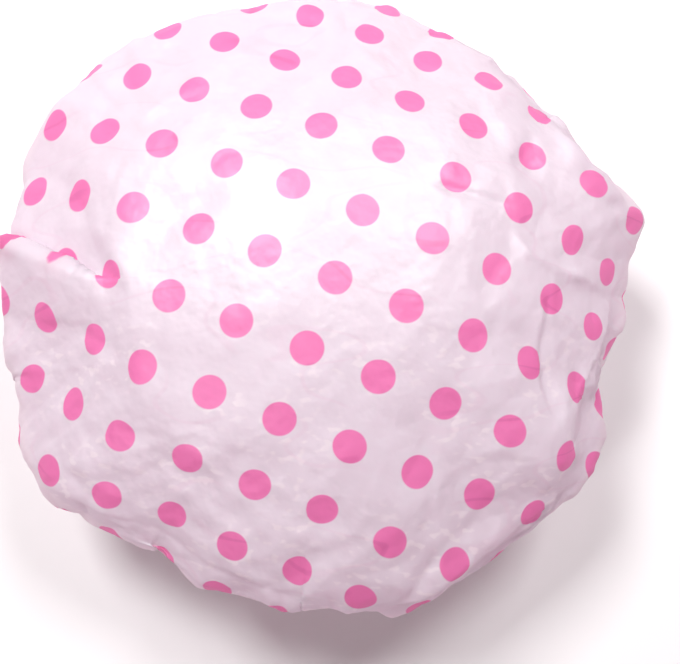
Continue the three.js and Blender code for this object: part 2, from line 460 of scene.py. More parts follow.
@dataclass(frozen=True)
class FloorFinish:
    """A plain white floor, which shows white where no shadow falls."""

    name: str = "white_floor"
    colour: Colour = (0.90, 0.89, 0.89, 1.0)
    lift: float = 0.04

    def material(self) -> bpy.types.Material:
        """Make the finish.

        Returns:
            The material.
        """
        made = bpy.data.materials.new(self.name)
        tree = Tree(made)
        plain = tree.add("ShaderNodeBsdfDiffuse", {}, {"Color": self.colour})
        path = tree.add("ShaderNodeLightPath", {}, {}, "Is Camera Ray")
        glow = tree.add("ShaderNodeEmission", {}, {"Color": (1, 1, 1, 1), "Strength": path * self.lift})
        tree.finish(tree.add("ShaderNodeAddShader", {}, {0: plain, 1: glow}))
        return made


def smooth(value: Points, low: float, high: float) -> Points:
    """Return a smooth step from 0 to 1.

    Args:
        value: where the step is wanted.
        low: where it is 0.
        high: where it is 1.

    Returns:
        The step at each value.
    """
    share = np.clip((value - low) / (high - low), 0.0, 1.0)
    return share * share * (3.0 - 2.0 * share)


def polar(radius: Points, azimuth: Points, height: Points) -> Points:
    """Return points from their places round an upright axis.

    Args:
        radius: how far each is from the axis.
        azimuth: which way it lies, in radians.
        height: how high it lies.

    Returns:
        The points, with x, y and z last.
    """
    return np.stack([radius * np.cos(azimuth), radius * np.sin(azimuth), height], axis=-1)


@dataclass(frozen=True)
class Fold:
    """A fold of the film, which runs down from the crown between two smooth panels.

    Attributes:
        azimuth: where it stands, in degrees.
        spine: how far across the next panel its unturned line lies, from 0 to 1.
        lift: how far the upper lip stands over the lower one, in metres.
        lip: which lip is the upper one, +1 for the next panel's and -1 for the last one's.
        start: how far from the crown its lip starts to stand, in metres.
        share: how much of the film that is over at the fold it takes in.
        sweep: how far round its inner end lies, in degrees.
    """

    azimuth: float
    spine: float
    lift: float
    lip: int
    start: float
    share: float
    sweep: float = 0.0


class Bend(Enum):
    """How a crease bends the film."""

    VALLEY = "valley"
    RIDGE = "ridge"
    LIP = "lip"


@dataclass(frozen=True)
class Crease:
    """A crease across the film, along a line on the flat disc in millimetres."""

    bend: Bend
    line: tuple[tuple[float, float], ...]
    height: float
    width: float
    ease: float = 12.0

    def lift(self, flat: Points) -> Points:
        """Return how far the crease lifts the film.

        Args:
            flat: places on the flat disc, in metres.

        Returns:
            The lift at each place, in metres; below 0 where it sinks.
        """
        place = flat * 1000.0
        near = np.full(len(flat), 1e9)
        side, along = np.zeros(len(flat)), np.zeros(len(flat))
        run = 0.0
        for start, end in zip(self.line, self.line[1:]):
            way = np.subtract(end, start)
            length = float(np.hypot(*way))
            way = way / length
            offset = place - np.array(start)
            share = np.clip(offset @ way, 0.0, length)
            gap = np.hypot(*(offset - share[:, None] * way).T)
            closer = gap < near
            near = np.where(closer, gap, near)
            side = np.where(closer, offset[:, 1] * way[0] - offset[:, 0] * way[1], side)
            along = np.where(closer, run + share, along)
            run += length
        ends = smooth(along, -1.0, self.ease) * smooth(run - along, -1.0, self.ease)
        if self.bend is Bend.LIP:
            shape = np.exp(-near / self.width) * smooth(side, -1.5, 1.0)
            shape = shape - 0.35 * np.exp(-near / self.width) * smooth(-side, -1.0, 1.5)
        else:
            shape = 1.0 / (1.0 + (near / self.width) ** 2) ** 1.5
        sign = -1.0 if self.bend is Bend.VALLEY else 1.0
        return sign * self.height / 1000.0 * ends * shape


@dataclass
class FilmForm:
    """The puffed film's profile, outline and folds, as the CAD model has them, in metres.

    Attributes:
        front: the azimuth of the front edge, where the film turns under in a tighter shoulder.
        front_width: how far to each side the tight shoulder reaches.
        front_fade: how far past that it takes to widen again.
        corners: the outline's corners, each with its azimuth in degrees and its reach past the equator in mm.
        sweep_span: between which arcs a fold's line swings back to its azimuth.
        sweep_width: how far to each side of a fold the film swings with it.
    """

    equator: float = 0.135
    crown: float = 0.233
    shoulder: float = 0.025
    front_shoulder: float = 0.008
    front: float = math.radians(-85.0)
    front_width: float = math.radians(45.0)
    front_fade: float = math.radians(40.0)
    under: float = 0.034
    under_turn: float = math.radians(60.0)
    opening: float = 0.075
    hem_depth: float = 0.0038
    hem_top: float = 0.0076
    corners: tuple[tuple[float, float], ...] = (
        (-170, 2), (-162, -3), (-152, 8), (-141, 10), (-130, -4), (-122, -10), (-112, -5), (-96, -6),
        (-88, -13), (-78, 0), (-60, -8), (-40, -4), (-27, -3), (-19, -17), (-8, -6), (-3, -6),
        (13, 6), (20, 2), (35, -11), (50, -6), (60, -15), (68, -9), (78, -2), (90, -9),
        (108, 4), (120, -1), (134, 11), (146, 9), (157, 11), (169, 3), (178, -3),
    )
    folds: tuple[Fold, ...] = (
        Fold(-163, 0.62, 0.0015, -1, 0.130, 0.2),
        Fold(-122, 0.45, 0.0015, -1, 0.130, 0.2),
        Fold(-93, 0.63, 0.0015, 1, 0.120, 0.3),
        Fold(-56, 0.53, 0.0000, 1, 0.130, 0.0),
        Fold(-16, 0.80, 0.0006, -1, 0.115, 0.0),
        Fold(37, 0.50, 0.0015, -1, 0.120, 0.4),
        Fold(54, 0.36, 0.0012, 1, 0.120, 0.3),
        Fold(96, 0.45, 0.0006, -1, 0.130, 0.2),
        Fold(126, 0.33, 0.0006, 1, 0.130, 0.2),
        Fold(171, 0.54, 0.0030, 1, 0.070, 1.6, 13.0),
    )
    outline_start: float = math.radians(12.0)
    outline_full: float = math.radians(48.0)
    sweep_span: tuple[float, float] = (0.076, 0.142)
    sweep_width: float = math.radians(40.0)

    def __post_init__(self) -> None:
        """Work out the sizes that follow from the driving ones."""
        self.pleat_lean = math.pi / 2 + self.under_turn
        self.hem_outer = self.opening + self.hem_depth
        self.pleat_radius = self.equator - self.under * (1 - math.sin(self.pleat_lean))
        self.slope = math.pi - self.pleat_lean
        self.pleat_z = self.hem_top + (self.pleat_radius - self.hem_outer) * math.tan(self.slope)
        self.equator_z = self.pleat_z - self.under * math.cos(self.pleat_lean)
        edge, rise = self.crown_edge(self.shoulder)
        self.crown_z = self.equator_z - rise
        self.equator_arc = self.crown * edge + self.shoulder * (math.pi / 2 - edge)
        self.pleat_arc = self.equator_arc + self.under * self.under_turn
        self.skirt = (self.pleat_radius - self.hem_outer) / math.cos(self.slope)

    def sweep(self, arc: Points, angle: Points) -> Points:
        """Return how far round the folds' lines lie from their azimuths.

        Args:
            arc: how far each place on the flat disc is from its middle.
            angle: which way it lies.

        Returns:
            The angle at each place.
        """
        inner = np.interp(arc, self.sweep_span, (1.0, 0.0))
        total = np.zeros_like(arc)
        for fold in self.folds:
            off = angle - math.radians(fold.azimuth + fold.sweep / 2)
            off = (off + math.pi) % (2 * math.pi) - math.pi
            total += math.radians(fold.sweep) * inner * np.exp(-((off / self.sweep_width) ** 2))
        return total

    def crown_edge(self, shoulder: Points | float) -> tuple[Points, Points]:
        """Return where the crown meets a shoulder.

        Args:
            shoulder: the shoulder's radius.

        Returns:
            The lean at which they meet, and the equator's height over the crown's middle.
        """
        edge = np.arcsin((self.equator - shoulder) / (self.crown - shoulder))
        return edge, (self.crown - shoulder) * np.cos(edge)

    def shoulder_at(self, azimuth: Points) -> Points:
        """Return the shoulder's radius, which is tight along the front edge.

        Args:
            azimuth: where it is wanted.

        Returns:
            The radius at each azimuth.
        """
        away = np.abs((azimuth - self.front + math.pi) % (2 * math.pi) - math.pi)
        tight = 1 - smooth(away, self.front_width, self.front_width + self.front_fade)
        return self.shoulder + (self.front_shoulder - self.shoulder) * tight

    def lean(self, arc: Points, azimuth: Points) -> Points:
        """Return how far the film's normal leans from upright.

        Args:
            arc: how far each place is from the top of the crown, along the film.
            azimuth: which way it lies.

        Returns:
            The lean at each place.
        """
        bend = self.shoulder_at(azimuth)
        edge, _ = self.crown_edge(bend)
        equator = self.crown * edge + bend * (math.pi / 2 - edge)
        side = edge + (arc - self.crown * edge) / bend
        under = math.pi / 2 + self.under_turn * (arc - equator) / (self.pleat_arc - equator)
        return np.where(arc < self.crown * edge, arc / self.crown, np.where(arc < equator, side, under))

    def profile(self, lean: Points, azimuth: Points) -> tuple[Points, Points]:
        """Return the plain profile.

        Args:
            lean: how far the film's normal leans from upright.
            azimuth: which way each place lies.

        Returns:
            The radius and the height of each place.
        """
        shoulder = self.shoulder_at(azimuth)
        edge, rise = self.crown_edge(shoulder)
        top, side = lean <= edge, lean <= math.pi / 2
        bend = np.where(top, self.crown, np.where(side, shoulder, self.under))
        offset = np.where(top, 0.0, self.equator - bend)
        lower = np.maximum(lean - math.pi / 2, 0.0)
        level = self.crown_z + rise
        level = level + (self.equator_z - level) * smooth(lower, 0.0, self.under_turn)
        middle = np.where(top, self.crown_z, level)
        return offset + bend * np.sin(lean), middle + bend * np.cos(lean)

    def reach(self, azimuth: Points) -> Points:
        """Return how far the equator reaches past its mean radius: straight chords between corners.

        Args:
            azimuth: where it is wanted.

        Returns:
            The reach at each azimuth.
        """
        angles = np.radians([a for a, _ in self.corners])
        reaches = np.array([self.equator + past / 1000 for _, past in self.corners])
        turn = 2 * math.pi
        azimuth = (azimuth + math.pi) % turn - math.pi
        after_place = np.searchsorted(angles, azimuth, side="right") % len(angles)
        start, end = angles[after_place - 1], angles[after_place]
        first, second = reaches[after_place - 1], reaches[after_place]
        before, after = (azimuth - start) % turn, (end - azimuth) % turn
        chord = first * second * np.sin(before + after)
        return chord / (first * np.sin(before) + second * np.sin(after)) - self.equator

    def outline_share(self, lean: Points) -> Points:
        """Return how much of the outline's corners shows.

        Args:
            lean: how far the film's normal leans from upright.

        Returns:
            The share at each lean.
        """
        over = smooth(lean, self.outline_start, self.outline_full)
        below = 1 - smooth(lean, math.pi / 2, self.pleat_lean)
        return np.where(lean <= math.pi / 2, over, below)

    def point(self, lean: Points, azimuth: Points) -> Points:
        """Return points of the plain surface.

        Args:
            lean: how far the film's normal leans from upright.
            azimuth: which way each point lies.

        Returns:
            The points.
        """
        radius, height = self.profile(lean, azimuth)
        return polar(radius + self.outline_share(lean) * self.reach(azimuth), azimuth, height)


@dataclass
class Facets:
    """Flat facets which the taut film takes between its soft ridges.

    Attributes:
        rows: lean in degrees, how many facets stand at it and how far their lean strays.
        flats: wide flats, each with its azimuth and lean in degrees and the radius where it leaves the crown.
        soft: how far a ridge is rounded, in metres.
    """

    form: FilmForm
    rows: tuple[tuple[float, int, float], ...] = (
        (5, 4, 2), (15, 9, 3), (26, 13, 4), (48, 15, 8), (74, 19, 7),
    )
    flats: tuple[tuple[float, float, float], ...] = (
        (-7, 33.5, 0.088), (194, 30, 0.081), (-122, 56, 0.121), (-147, 58, 0.139),
    )
    soft: float = 0.0012

    def __post_init__(self) -> None:
        """Stand the facets round the film."""
        leans, azimuths = [], []
        for row, (lean, count, stray) in enumerate(self.rows):
            for i in range(count):
                azimuths.append((row + i + 0.35 * math.sin(5 * i + row)) * 2 * math.pi / count)
                leans.append(math.radians(lean + stray * math.sin(7 * i + 2 * row)))
        lean, azimuth = np.array(leans), np.array(azimuths)
        self.middle = np.array([0.0, 0.0, self.form.equator_z])
        self.normals = polar(np.sin(lean), azimuth, np.cos(lean))
        on_film = self.form.point(lean, azimuth) - self.middle
        self.reaches = np.sum(self.normals * on_film, axis=1)

    def flatten(self, points: Points, share: Points) -> Points:
        """Return points drawn on to the facets, and then cut to the wide flats.

        Args:
            points: the plain film's points.
            share: how far each is drawn on to its facet.

        Returns:
            The points on the faceted film.
        """
        away = points - self.middle
        reach = np.linalg.norm(away, axis=1)
        facing = np.maximum(away / reach[:, None] @ self.normals.T, 0.05)
        spans = np.minimum(self.reaches / facing, 1.0) / self.soft
        least = spans.min(axis=1)
        flat = self.soft * (least - np.log(np.exp(least[:, None] - spans).sum(axis=1)) + 1.1)
        points = self.middle + away * (1 + share * (flat / reach - 1))[:, None]
        for azimuth, lean, radius in self.flats:
            turn, tilt = math.radians(azimuth), math.radians(lean)
            normal = polar(np.sin(tilt), turn, np.cos(tilt))
            rise = math.sqrt(self.form.crown ** 2 - radius ** 2)
            foot = polar(np.array(radius), turn, self.form.crown_z + rise) - self.middle
            away = points - self.middle
            over = away @ normal / float(foot @ normal)
            points = self.middle + away / np.maximum(over, 1.0)[:, None]
        return points


def crumple(flat: Points, cell: float, seed: int) -> Points:
    """Return flat-sided pits and peaks on the flat disc, from about -1 to 1, with straight ridges.

    Args:
        flat: places on the disc.
        cell: how far apart the pits are.
        seed: which scatter is taken.

    Returns:
        The height at each place.
    """
    chance = np.random.default_rng(seed)
    size = 64
    middles = chance.uniform(0.0, 1.0, (size, size, 2))
    turns = chance.uniform(0.0, math.pi, (size, size))
    steeps = chance.uniform(0.7, 1.3, (size, size))
    place = flat / cell + size / 2
    corner = np.floor(place).astype(int)
    least = np.full(len(flat), 9.0)
    for dx in (-1, 0, 1):
        for dy in (-1, 0, 1):
            column, row = corner[:, 0] + dx, corner[:, 1] + dy
            pit = (column % size, row % size)
            away = place - np.stack([column, row], axis=1) - middles[pit]
            cosine, sine = np.cos(turns[pit]), np.sin(turns[pit])
            across = np.abs(away[:, 0] * cosine + away[:, 1] * sine)
            along = np.abs(away[:, 1] * cosine - away[:, 0] * sine)
            least = np.minimum(least, steeps[pit] * (across + 0.5 * along))
    return 3.0 * (least - 0.42)


def rays(flat: Points, count: int, seed: int) -> Points:
    """Return the rays of pulled film that run up from the hem, on the flat disc, in metres.

    Args:
        flat: places on the disc.
        count: how many rays there are.
        seed: which scatter is taken.

    Returns:
        The height at each place; below 0 in a groove.
    """
    chance = np.random.default_rng(seed)
    arc = np.hypot(*flat.T)
    angle = np.arctan2(flat[:, 1], flat[:, 0])
    total = np.zeros(len(flat))
    for i in range(count):
        azimuth = (i + chance.uniform(-0.4, 0.4)) * 2 * math.pi / count
        height = chance.choice([-1, -1, 1]) * chance.uniform(0.0005, 0.0016)
        width = chance.uniform(0.003, 0.007)
        start, slant = chance.uniform(0.085, 0.125), chance.uniform(-2.0, 2.0)
        away = angle - azimuth - slant * (arc - 0.14)
        away = ((away + math.pi) % (2 * math.pi) - math.pi) * arc
        total += height * np.exp(-np.abs(away / width) ** 1.4) * smooth(arc, start, start + 0.045)
    return total


def film_piece(
    name: str, points: Points, faces: Points, flat: Points, turned: Points, material: bpy.types.Material
) -> bpy.types.Object:
    """Return a sheet of film as an object.

    Args:
        name: its name.
        points: its points.
        faces: the points of each face.
        flat: where each point lies on the flat disc.
        turned: how far the film has turned down at each point, from 0 to 1 at the edge.
        material: its finish.

    Returns:
        The object, linked to the scene.
    """
    mesh = bpy.data.meshes.new(name)
    mesh.from_pydata(points.tolist(), [], faces.tolist())
    layer = mesh.uv_layers.new(name=FLAT_MAP)
    corners = np.zeros(len(mesh.loops), np.int32)
    mesh.loops.foreach_get("vertex_index", corners)
    layer.data.foreach_set("uv", flat[corners].astype(np.float32).ravel())
    mesh.attributes.new(TURN_MAP, "FLOAT", "POINT").data.foreach_set("value", turned.astype(np.float32))
    mesh.polygons.foreach_set("use_smooth", np.ones(len(mesh.polygons), bool))
    mesh.materials.append(material)
    piece = bpy.data.objects.new(name, mesh)
    bpy.context.scene.collection.objects.link(piece)
    return piece


@dataclass
class FilmCover:
    """The puffed film from the crown to the pleat line, as one sheet.

    Attributes:
        rings: how many rings of points the disc has.
        rounds: how many times the film is let settle.
        ease: how much a bend eases in one round.
        goal: how much the film is drawn back to its start in one round.
        slack: how much of the gathered length is let go.
        lip_fade: how far along the tucked film a raised lip dies out.
        lip_width: how far to the side of a fold its lip is raised.
        lip_run: how far along a fold its lip takes to rise.
        crumples: the cell and the seed of each layer of crumple, its height and its gain at the edge.
        ray_count: how many rays of pulled film run up from the hem.
    """

    form: FilmForm
    axis: tuple[float, float]
    material: bpy.types.Material
    rings: int = 144
    pleats: int = 48
    pleat_depth: float = 0.005
    rounds: int = 200
    ease: float = 0.025
    goal: float = 0.008
    slack: float = 0.6
    lip_fade: float = 0.003
    lip_width: float = 0.035
    lip_run: float = 0.05
    crumples: tuple[tuple[float, int, float, float], ...] = (
        (0.050, 3, 0.0004, 0.0012), (0.028, 5, -0.0003, -0.0006), (0.013, 8, 0.0001, 0.0002),
    )
    ray_count: int = 44
    name: str = "film_cover_sheet"
    creases: tuple[Crease, ...] = (
        Crease(
            Bend.LIP,
            ((-76, -5), (-88, -3), (-105, 3), (-119, 9), (-137, 20), (-152, 26)),
            4.0, 38.0, 25.0,
        ),
        Crease(Bend.VALLEY, ((-74, -1), (-61, 11), (-52, 22), (-34, 27)), 1.4, 7.0),
        Crease(Bend.VALLEY, ((40, 32), (47, 30), (57, 28), (67, 26), (74, 25)), 1.2, 1.7, 8.0),
        Crease(Bend.VALLEY, ((76, 51), (81, 47), (89, 42)), 2.2, 8.0, 6.0),
        Crease(Bend.RIDGE, ((98, 66), (109, 53), (117, 44)), 1.8, 5.0),
        Crease(Bend.RIDGE, ((71, 17), (79, 7), (93, 2), (108, 0), (125, -3)), 1.8, 2.6),
        Crease(Bend.LIP, ((87, -6), (88, -20), (87, -35), (87, -46), (92, -58)), -1.2, 30.0),
        Crease(Bend.RIDGE, ((-37, -118), (-25, -125), (-19, -140)), 1.6, 4.0, 6.0),
        Crease(Bend.VALLEY, ((31, -134), (39, -118), (47, -104)), 1.4, 3.5, 10.0),
        Crease(Bend.RIDGE, ((35, -134), (50, -118), (64, -110)), 1.2, 3.5, 10.0),
        Crease(Bend.VALLEY, ((-82, -106), (-76, -116), (-68, -126)), 2.0, 6.0, 6.0),
        Crease(
            Bend.VALLEY,
            (
                (-118, -84), (-98, -95), (-82, -102), (-70, -106),
                (-55, -116), (-37, -123), (-16, -131), (6, -133),
            ),
            0.5, 1.6, 16.0,
        ),
        Crease(
            Bend.VALLEY,
            ((20, -136), (43, -130), (61, -117), (76, -109), (94, -97), (116, -84)),
            0.5, 1.4, 16.0,
        ),
    )
    flat: Points = field(init=False)
    triangles: Points = field(init=False)

    def disc(self) -> None:
        """Lay out the flat disc: rings of six more points each, joined by even triangles."""
        flat, triangles, starts = [np.zeros((1, 2))], [], [0]
        for ring in range(1, self.rings + 1):
            starts.append(1 + 3 * ring * (ring - 1))
            angle = 2 * math.pi * np.arange(6 * ring) / (6 * ring)
            radius = self.form.pleat_arc * ring / self.rings
            flat.append(np.stack([radius * np.cos(angle), radius * np.sin(angle)], axis=1))
        for ring in range(1, self.rings + 1):
            outer, inner = starts[ring], starts[ring - 1]
            size, less = 6 * ring, max(6 * (ring - 1), 1)
            for side in range(6):
                for i in range(ring):
                    a = outer + (side * ring + i) % size
                    b = outer + (side * ring + i + 1) % size
                    c = inner + (side * (ring - 1) + i) % less
                    triangles.append((a, b, c))
                    if i < ring - 1:
                        d = inner + (side * (ring - 1) + i + 1) % less
                        triangles.append((c, b, d))
        self.flat = np.concatenate(flat)
        self.triangles = np.array(triangles)

    def start(self) -> Points:
        """Return the film before it settles: flat panels, with what is over tucked into folds.

        Returns:
            The points.
        """
        form = self.form
        turn = 2 * math.pi
        arc = np.hypot(*self.flat.T)
        angle = np.arctan2(self.flat[:, 1], self.flat[:, 0])
        lean = form.lean(arc, angle)
        radius, _ = form.profile(lean, angle)
        folds = np.radians([fold.azimuth for fold in form.folds])
        spines = np.array([fold.spine for fold in form.folds])
        lifts = np.array([fold.lift for fold in form.folds])
        lips = np.array([fold.lip for fold in form.folds])
        starts = np.array([fold.start for fold in form.folds])
        shares = np.array([fold.share for fold in form.folds])
        sweep = form.sweep(arc, angle)
        swept = (angle - sweep + math.pi) % turn - math.pi
        last = np.searchsorted(folds, swept, side="right") % len(folds) - 1
        low, span = folds[last], (np.roll(folds, -1)[last] - folds[last]) % turn
        before = span * spines[last]
        off = (swept - low) % turn - before
        half = np.where(off < 0, before, span - before)
        near = np.where(off < 0, last, (last + 1) % len(folds))
        shown = half * (1 - shares[near] * (1 - radius / np.maximum(arc, 1e-9)))
        tuck = np.maximum(np.abs(off) - shown, 0.0) * arc
        azimuth = low + before + np.clip(off / np.maximum(shown, 1e-9), -1, 1) * half
        gap = np.abs((azimuth - folds[near] + math.pi) % turn - math.pi) * radius
        upper = np.where(off < 0, lips[near] > 0, lips[near] < 0)
        stand = np.where(upper, np.exp(-tuck / self.lip_fade), -0.5)
        raised = lifts[near] * stand * np.exp(-gap / self.lip_width)
        raised *= smooth(arc - starts[near], 0.0, self.lip_run)
        lower = smooth(arc, form.equator_arc + 0.004, form.pleat_arc)
        azimuth = azimuth + sweep + (1 - lower) * lips[near] * 0.95 * tuck / np.maximum(radius, 1e-3)
        azimuth = azimuth + lower * ((angle - azimuth + math.pi) % turn - math.pi)
        wave = self.pleat_depth * np.sin(self.pleats * angle)
        inset = (1 - lower) * (0.4 * tuck - raised) - lower * wave
        share = (0.5 + 0.4 * smooth(lean, 0.2, 0.5)) * (1 - smooth(lean, 0.7, 1.3))
        points = Facets(form).flatten(form.point(lean, azimuth), share)
        return points - inset[:, None] * polar(np.sin(lean), azimuth, np.cos(lean))

    def settle(self, start: Points) -> Points:
        """Let the film settle: edges keep their flat lengths, sharp bends ease and the outer ring stays put.

        Args:
            start: the points before settling.

        Returns:
            The settled points.
        """
        sides = np.concatenate([self.triangles[:, pair] for pair in ([0, 1], [1, 2], [2, 0])])
        a, b = np.unique(np.sort(sides, axis=1), axis=0).T
        length = np.linalg.norm(self.flat[a] - self.flat[b], axis=1)
        squeezed = np.linalg.norm(start[a] - start[b], axis=1)
        length = length - self.slack * np.maximum(length - squeezed, 0.0)
        count = len(start)
        share = 1.0 / (np.bincount(a, minlength=count) + np.bincount(b, minlength=count))[:, None]
        share[count - 6 * self.rings:] = 0.0
        points = start.copy()
        for _ in range(self.rounds):
            span = points[b] - points[a]
            now = np.linalg.norm(span, axis=1)
            span *= (0.8 * (1 - length / np.maximum(now, 1e-9)) + self.ease)[:, None]
            for k in range(3):
                moved = np.bincount(a, span[:, k], count) - np.bincount(b, span[:, k], count)
                points[:, k] += share[:, 0] * moved
            points += (share > 0) * (start - points) * self.goal
        return points

    def detail(self, points: Points) -> Points:
        """Return the film with its creases, crumple and rays pressed in.

        Args:
            points: the settled points.

        Returns:
            The points of the finished film.
        """
        arc = np.hypot(*self.flat.T)
        normals = np.zeros_like(points)
        a, b, c = (points[self.triangles[:, k]] for k in range(3))
        across = np.cross(b - a, c - a)
        for k in range(3):
            for axis in range(3):
                normals[:, axis] += np.bincount(self.triangles[:, k], across[:, axis], len(points))
        normals /= np.linalg.norm(normals, axis=1)[:, None]
        lift = sum(crease.lift(self.flat) for crease in self.creases)
        edge = smooth(arc, 0.03, 0.13)
        for cell, seed, height, gain in self.crumples:
            lift = lift + (height + gain * edge) * crumple(self.flat, cell, seed)
        lift = lift + rays(self.flat, self.ray_count, 2)
        free = 1 - smooth(arc, self.form.equator_arc, self.form.pleat_arc)
        return points + (lift * free)[:, None] * normals

    def build(self) -> bpy.types.Object:
        """Make the sheet, dress it and put it in the cap's place.

        Returns:
            The sheet.
        """
        self.disc()
        points = self.detail(self.settle(self.start())) + np.array([*self.axis, 0.0])
        angle = np.arctan2(self.flat[:, 1], self.flat[:, 0])
        turned = self.form.lean(np.hypot(*self.flat.T), angle) / (math.pi / 2)
        piece = film_piece(self.name, points, self.triangles, self.flat, turned, self.material)
        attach(piece, "cover")
        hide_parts("film_cover")
        area = math.pi * self.form.pleat_arc ** 2
        2 * self.form.pleat_arc
        2 * self.form.pleat_arc
        return piece


@dataclass
class HemSector:
    """One sixteenth of the gathered film under the pleat line, with its ruffled hem casing.

    Its flap runs on under the next sector, so that no gap opens when the elastic stretches.

    Attributes:
        flap: how far the flap runs at the hem.
        flap_spread: how much of that the flap gains half way up the skirt.
        flap_drop: how far the flap lies under the next sector.
        flap_edge: how far it takes to drop so far.
        overlap: how much of the skirt's length runs on over the pleat line.
        foot: how high the hem's foot stands.
    """

    form: FilmForm
    axis: tuple[float, float]
    number: int
    material: bpy.types.Material
    pleats: int = 48
    pleat_depth: float = 0.005
    ruffles: int = 176
    ruffle_depth: float = 0.0011
    flap: float = 0.0119
    flap_spread: float = 1.4
    flap_drop: float = 0.0007
    flap_edge: float = 0.002
    overlap: float = 0.02
    foot: float = 0.0003
    columns: int = 88
    skirt_rows: int = 26
    casing_rows: int = 20

    @property
    def azimuth(self) -> float:
        """Return where the sector's middle stands.

        Returns:
            The azimuth.
        """
        return 2 * math.pi * (self.number - 1) / SECTORS

    def path(self) -> tuple[Points, Points, Points, Points]:
        """Return the section's line from over the pleat line to the inner hem.

        Returns:
            The radius and height of its points, their outward normals and how far each is along the film.
        """
        form = self.form
        share = np.linspace(-self.overlap, 1.0, self.skirt_rows)
        top = np.array([form.pleat_radius, form.pleat_z])
        foot = np.array([form.hem_outer, form.hem_top])
        skirt = top + share[:, None] * (foot - top)
        normal = np.tile([math.sin(form.pleat_lean), math.cos(form.pleat_lean)], (len(share), 1))
        middle = np.array([form.opening + form.hem_depth / 2, form.hem_top / 2])
        half = np.array([form.hem_depth / 2, form.hem_top / 2])
        turn = np.linspace(math.radians(38.0), math.radians(-220.0), self.casing_rows)
        way = np.stack([np.cos(turn), np.sin(turn)], axis=1)
        corner = np.sign(way) * np.abs(way) ** 0.55
        casing = middle + corner * half
        line = np.concatenate([skirt, casing])
        normals = np.concatenate([normal, way])
        steps = np.linalg.norm(np.diff(line, axis=0), axis=1)
        run = np.concatenate([[0.0], np.cumsum(steps)]) + share[0] * form.skirt
        return line[:, 0], line[:, 1], normals, run

    def build(self) -> bpy.types.Object:
        """Make the sector's sheet, from over the pleat line down round its hem casing.

        Returns:
            The sheet.
        """
        form = self.form
        radius, height, normals, run = self.path()
        half = math.pi / SECTORS
        hem = np.clip(run / form.skirt, 0.0, 1.0)
        flap = self.flap * (hem + self.flap_spread * hem * (1 - hem)) / radius
        share = np.linspace(0.0, 1.0, self.columns)
        azimuth = self.azimuth - half + share[None, :] * (2 * half + flap[:, None])
        past = np.maximum(azimuth - self.azimuth - half, 0.0) * radius[:, None]
        wave = np.sin(self.pleats * azimuth)
        drift = 0.9 * np.sin(5 * azimuth) + 0.7 * np.sin(11 * azimuth + 1.0)
        ruffle = 0.5 + 0.5 * np.sin(self.ruffles * azimuth + drift)
        deep = (1.0 + 0.25 * np.sin(3 * azimuth) * smooth(hem, 0.0, 0.4)[:, None])
        grown = self.pleat_depth * (1 + 0.55 * smooth(hem, 0.0, 0.6) - 1.5 * smooth(hem, 0.55, 1.0))
        out = grown[:, None] * deep * wave
        out = out + self.ruffle_depth * smooth(hem, 0.35, 0.95)[:, None] * ruffle * 2.0
        under = smooth(past, 0.0, self.flap_edge)
        out = out - self.flap_drop * under - 0.0003 * (run < 0)[:, None]
        points = polar(
            radius[:, None] + out * normals[:, :1], azimuth, height[:, None] + out * normals[:, 1:]
        )
        points[..., 2] = np.maximum(points[..., 2], self.foot + 0.0006 * under)
        points = points.reshape(-1, 3) + np.array([*self.axis, 0.0])
        arc = (form.pleat_arc + run)[:, None] + 0.0 * azimuth
        flat = polar(arc, azimuth, 0.0 * arc).reshape(-1, 3)[:, :2]
        rows, columns = azimuth.shape
        first = (np.arange(rows - 1)[:, None] * columns + np.arange(columns - 1)[None, :]).ravel()
        faces = np.stack([first, first + columns, first + columns + 1, first + 1], axis=1)
        turned = np.zeros(len(points))
        piece = film_piece(f"gathered_film_{self.number:02d}", points, faces, flat, turned, self.material)
        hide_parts(f"gather_{self.number:02d}")
        spot = np.array([math.cos(self.azimuth), math.sin(self.azimuth)])
        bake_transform(piece)
        inner, outer = form.pleat_arc, form.pleat_arc + float(run[-1])
        width, length = 2 * math.pi * outer / SECTORS, outer - inner
        math.pi * (outer**2 - inner**2) / SECTORS
        return piece


